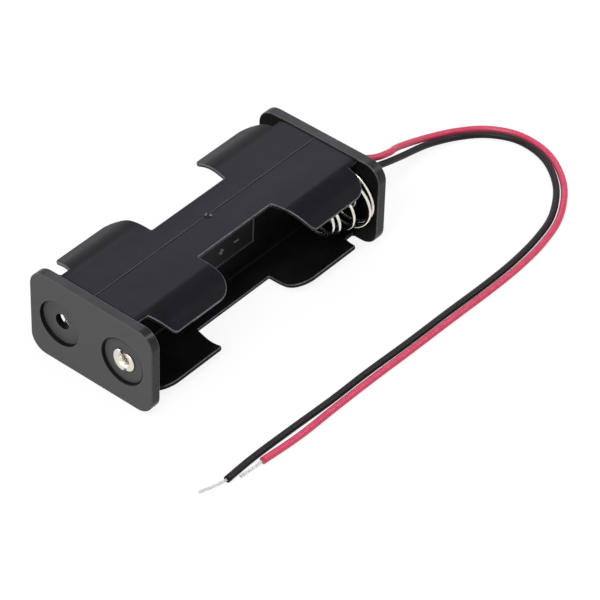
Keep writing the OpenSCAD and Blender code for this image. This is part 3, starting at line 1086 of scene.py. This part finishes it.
def coil_line(direction, start_angle):
    """Conical spring line: (x, y, z) with y the height above its wall."""
    steps = 44
    closed = WIRE + COIL_GAP
    rise = SPRING_L - WIRE - 2 * closed
    line = []
    for i in range(round(SPRING_TURNS * steps) + 1):
        n = i / steps
        height = WIRE / 2 + closed * min(n, 1) + rise * min(max(n - 1, 0) / (SPRING_TURNS - 2), 1)
        height += closed * max(n - SPRING_TURNS + 1, 0)
        taper = (max(n - 1, 0) / (SPRING_TURNS - 1)) ** SPRING_TAPER
        radius = SPRING_BASE_R + (SPRING_TIP_R - SPRING_BASE_R) * taper
        a = math.radians(start_angle + direction * 360 * n)
        line.append((radius * math.cos(a), height, radius * math.sin(a)))
    return line


def arc_line(x, z, r, start, end, steps):
    line = []
    for i in range(steps + 1):
        a = math.radians(start + (end - start) * i / steps)
        line.append((x + r * math.cos(a), WIRE / 2, z + r * math.sin(a)))
    return line


def eased(line):
    """Takes the kinks out of a line, with its ends kept."""
    for _ in range(2):
        points = [Vector(p) for p in line]
        inner = [(points[i - 1] + points[i] * 2 + points[i + 1]) / 4 for i in range(1, len(points) - 1)]
        line = [points[0]] + inner + [points[-1]]
    return line


def evenly(line, step):
    """The same line with points no further apart than step."""
    points = [Vector(p) for p in line]
    out = [points[0]]
    for a, b in zip(points, points[1:]):
        count = max(1, math.ceil((b - a).length / step))
        out += [a.lerp(b, i / count) for i in range(1, count + 1)]
    return out


def make_springs(material):
    front = arc_line(2 * CONTACT_X, 0, LOOP_R, 590, 270, 36)
    front += [(CONTACT_X + LINK_RUN, WIRE / 2, -LOOP_R), (CONTACT_X - LINK_RUN, WIRE / 2, -LOOP_R)]
    front += arc_line(0, SPRING_BASE_R - LINK_BEND_R, LINK_BEND_R, 252, 100, 20)
    front = evenly(front, 0.5) + coil_line(-1, 90)
    back = arc_line(0, 0, LOOP_R, -360 * (SPIRAL_TURNS + EYE_TURNS), -360 * SPIRAL_TURNS - 20, 30)
    for i in range(30):
        n = SPIRAL_TURNS * (i / 30 - 1)
        r = LOOP_R + (SPRING_BASE_R - LOOP_R) * (1 + n / SPIRAL_TURNS)
        a = 2 * math.pi * n
        back.append((r * math.cos(a), WIRE / 2, r * math.sin(a)))
    back = evenly(back, 0.5) + coil_line(1, 0)
    for name, line, side, x in (("front", front, 1, -CONTACT_X), ("back", back, -1, CONTACT_X)):
        placed = [(x + px, side * (py - WALL_Y), MID_Z + pz) for px, py, pz in eased(line)]
        verts, faces = swept(placed, WIRE / 2, 12)
        obj = outward(applied(made(f"{name}_spring_wire", verts, faces, material), crisp=False))
        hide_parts(f"{name}_spring")
        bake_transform(obj)


def make_contacts(materials):
    grip = PLATE_T - RIVET_RECESS + WIRE
    make_rivet("front_eyelet", -WALL_Y + WIRE, grip, 1, CONTACT_X, materials["rivet"], ["front_rivet"])
    grip = PLATE_T - TAG_RECESS + TAG_T
    make_rivet("back_plus_eyelet", WALL_Y, grip, -1, -CONTACT_X, materials["rivet"], ["back_plus_rivet"])
    make_rivet("back_minus_eyelet", WALL_Y - WIRE, grip + WIRE, -1, CONTACT_X, materials["rivet"],
               ["back_minus_rivet"])
    make_tags(materials)
    make_springs(materials["spring"])


# ---------------------------------------------------------------- the whole scene

def main():
    scene = bpy.context.scene
    scene.view_settings.view_transform = "Standard"
    make_camera()
    make_world()
    make_lights()
    make_floor()
    materials = {
        "plastic": moulded_plastic(),
        # The next two materials are darker copies of the plastic that paint shade in the bays, recesses and corners,
        # on the plates' inner faces and under the body.
        "inside": painted_shade_plastic("painted_shade_plastic", 0.07),
        "wall": painted_shade_plastic("painted_shade_wall_plastic", 0.03),
        "plate": plate_plastic(),
        "rim": rim_plastic(),
        # The next three materials are paler plastic that paints a highlight along edges and on the parting line.
        "edge": edge_highlight_plastic("edge_highlight_plastic", (0.03, 0.03, 0.032), (0.085, 0.085, 0.088)),
        "line": edge_highlight_plastic("rim_edge_highlight", (0.02, 0.02, 0.021), (0.055, 0.055, 0.057)),
        "seam": edge_highlight_plastic("parting_line_highlight", (0.014, 0.014, 0.016), (0.036, 0.036, 0.039)),
        "sign": edge_highlight_plastic("raised_sign", (0.10, 0.10, 0.10), (0.2, 0.2, 0.2)),
        "panel": panel_plastic(),
        "rivet": metal("nickel_rivet", (0.74, 0.71, 0.63), 0.34, 700, 0.000002),
        "spring": metal("spring_wire", (0.82, 0.79, 0.73), 0.22, 2600),
        "tag": metal("tinned_tag", (0.70, 0.69, 0.66), 0.42),
        "solder": metal("solder", (0.66, 0.66, 0.65), 0.35),
        "strands": metal("tinned_strands", (0.53, 0.53, 0.53), 0.6, 700, 0.000002),
        "red": insulation("red_insulation", (0.50, 0.034, 0.085), (0.43, 0.027, 0.072)),
        "black": insulation("black_insulation", (0.0085, 0.0062, 0.0062), (0.012, 0.0095, 0.0095), 0.14),
    }
    make_leads(materials)
    make_moulding(materials)
    make_contacts(materials)


main()
